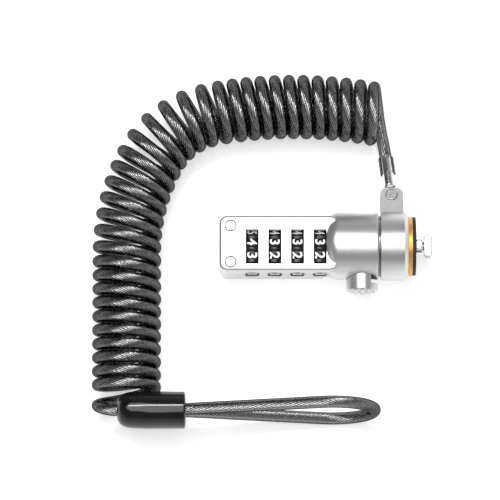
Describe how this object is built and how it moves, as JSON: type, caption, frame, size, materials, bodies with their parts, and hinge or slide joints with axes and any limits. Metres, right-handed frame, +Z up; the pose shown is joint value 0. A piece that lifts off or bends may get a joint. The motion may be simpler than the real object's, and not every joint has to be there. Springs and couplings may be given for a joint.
{
  "type": "laptop cable lock",
  "caption": "Combination lock with a turning T-bar nose and push button, on a coiled steel cable with a loop end, that fastens a laptop to a fixed anchor.",
  "frame": {"origin": "centre of the rubber washer's outer face, on the axis of the T-bar, where the lock meets the laptop's case", "axes": "+X out of the lock's nose into the security slot, +Y towards the cable's lug with the button on -Y, +Z up through the dial windows"},
  "size_m": [0.1002, 0.1065, 0.0284],
  "materials": {
    "smoky_jacket": "smoky see-through vinyl, glossy",
    "steel_wire": "twisted wire, dull",
    "bright_nickel": "bright plated",
    "clear_tube": "clear heat-shrink tube, glossy",
    "black_plastic": "glossy moulded plastic",
    "crimp_aluminium": "pressed, dull",
    "silver_paint": "satin silver paint on cast zinc",
    "plain_steel": "turned steel, satin",
    "plain_brass": "turned brass, satin",
    "spring_steel": "spring steel, satin",
    "nose_brass": "warm brass colour, satin",
    "black_rubber": "matte",
    "black_dial": "glossy moulded plastic, white digits"
  },
  "bodies": {
    "cable": {"cable_jacket": "smoky_jacket", "cable_core": "steel_wire", "cable_ferrule": "bright_nickel", "clear_sleeve": "clear_tube", "loop_sleeve": "black_plastic", "crimp_sleeve": "crimp_aluminium"},
    "collar": {"swivel_collar": "silver_paint", "lug_rivet": "bright_nickel"},
    "lock_body": {"upper_housing": "silver_paint", "lower_cover": "silver_paint", "housing_rivets": "plain_steel", "nose_bush": "plain_steel", "nose_plate": "nose_brass", "rubber_washer": "black_rubber", "detent_spring": "spring_steel", "button_spring": "spring_steel"},
    "button": {"push_button": "silver_paint", "button_plunger": "plain_steel"},
    "spindle": {"t_bar_spindle": "plain_steel", "spindle_pinion": "plain_steel", "spindle_clip": "spring_steel"},
    "shaft": {"locking_shaft": "plain_steel"},
    "dial_wheel_1": {"dial_1": "black_dial", "clutch_sleeve_1": "plain_brass"},
    "dial_wheel_2": {"dial_2": "black_dial", "clutch_sleeve_2": "plain_brass"},
    "dial_wheel_3": {"dial_3": "black_dial", "clutch_sleeve_3": "plain_brass"},
    "dial_wheel_4": {"dial_4": "black_dial", "clutch_sleeve_4": "plain_brass"}
  },
  "joints": [
    {"name": "ferrule_pivot", "type": "hinge", "parent": "cable", "child": "collar", "pos_m": [-0.0069, 0.01516, -0.00406], "axis": [0, 0.2588, 0.9659], "range_deg": [-20, 60]},
    {"name": "collar_swivel", "type": "hinge", "parent": "collar", "child": "lock_body", "pos_m": [-0.006, 0, 0], "axis": [1, 0, 0], "continuous": true},
    {"name": "dial_1_turn", "type": "hinge", "parent": "lock_body", "child": "dial_wheel_1", "pos_m": [-0.0282, -0.00185, 0.0001], "axis": [1, 0, 0], "continuous": true, "deforming": ["detent_spring"]},
    {"name": "dial_2_turn", "type": "hinge", "parent": "lock_body", "child": "dial_wheel_2", "pos_m": [-0.03485, -0.00185, 0.0001], "axis": [1, 0, 0], "continuous": true, "deforming": ["detent_spring"]},
    {"name": "dial_3_turn", "type": "hinge", "parent": "lock_body", "child": "dial_wheel_3", "pos_m": [-0.0415, -0.00185, 0.0001], "axis": [1, 0, 0], "continuous": true, "deforming": ["detent_spring"]},
    {"name": "dial_4_turn", "type": "hinge", "parent": "lock_body", "child": "dial_wheel_4", "pos_m": [-0.04815, -0.00185, 0.0001], "axis": [1, 0, 0], "continuous": true, "deforming": ["detent_spring"]},
    {"name": "button_push", "type": "slide", "parent": "lock_body", "child": "button", "axis": [0, 1, 0], "range_m": [0, 0.00314], "stiffness_N_per_m": 250, "springref_m": -0.001, "deforming": ["button_spring"]},
    {"name": "t_bar_turn", "type": "hinge", "parent": "lock_body", "child": "spindle", "pos_m": [0, 0, 0], "axis": [1, 0, 0], "range_deg": [-90.5, 0.5]},
    {"name": "shaft_slide", "type": "slide", "parent": "lock_body", "child": "shaft", "axis": [-1, 0, 0], "range_m": [-0.00001, 0.00201]}
  ],
  "couplings": [
    {"joint": "t_bar_turn", "follows": "button_push", "rad_per_m": -500},
    {"joint": "shaft_slide", "follows": "button_push", "ratio": 0.63662}
  ]
}
